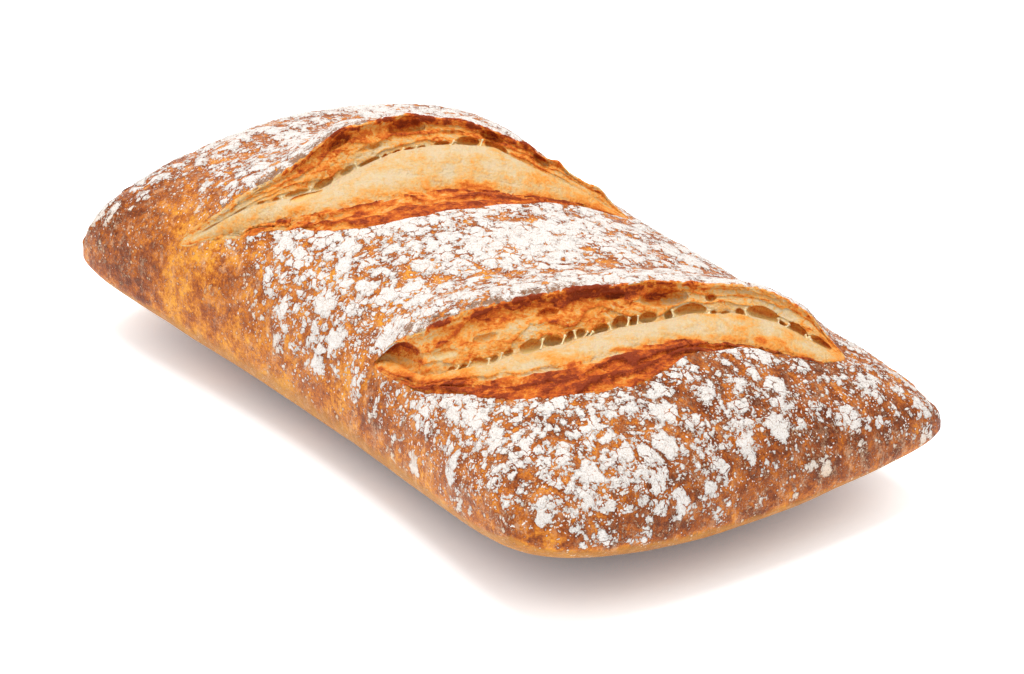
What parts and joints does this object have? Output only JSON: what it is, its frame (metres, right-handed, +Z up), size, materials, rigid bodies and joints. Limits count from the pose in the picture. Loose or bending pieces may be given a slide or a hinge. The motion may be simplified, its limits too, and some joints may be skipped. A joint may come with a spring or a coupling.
{
  "type": "scored rustic ciabatta loaf",
  "caption": "Flour-dusted pillow-shaped bread loaf with a drawn-in waist and open diagonal slashes that show the pale crumb.",
  "frame": {"origin": "on the supporting surface, under the middle of the loaf's bounding box", "axes": "+X along the loaf's long axis, +Y across it, +Z up out of the crust"},
  "size_m": [0.2338, 0.1418, 0.0734],
  "materials": {
    "baked_crust": "matt amber to brown crust, dusted with white flour"
  },
  "bodies": {
    "root": {"loaf": "baked_crust"}
  },
  "joints": []
}
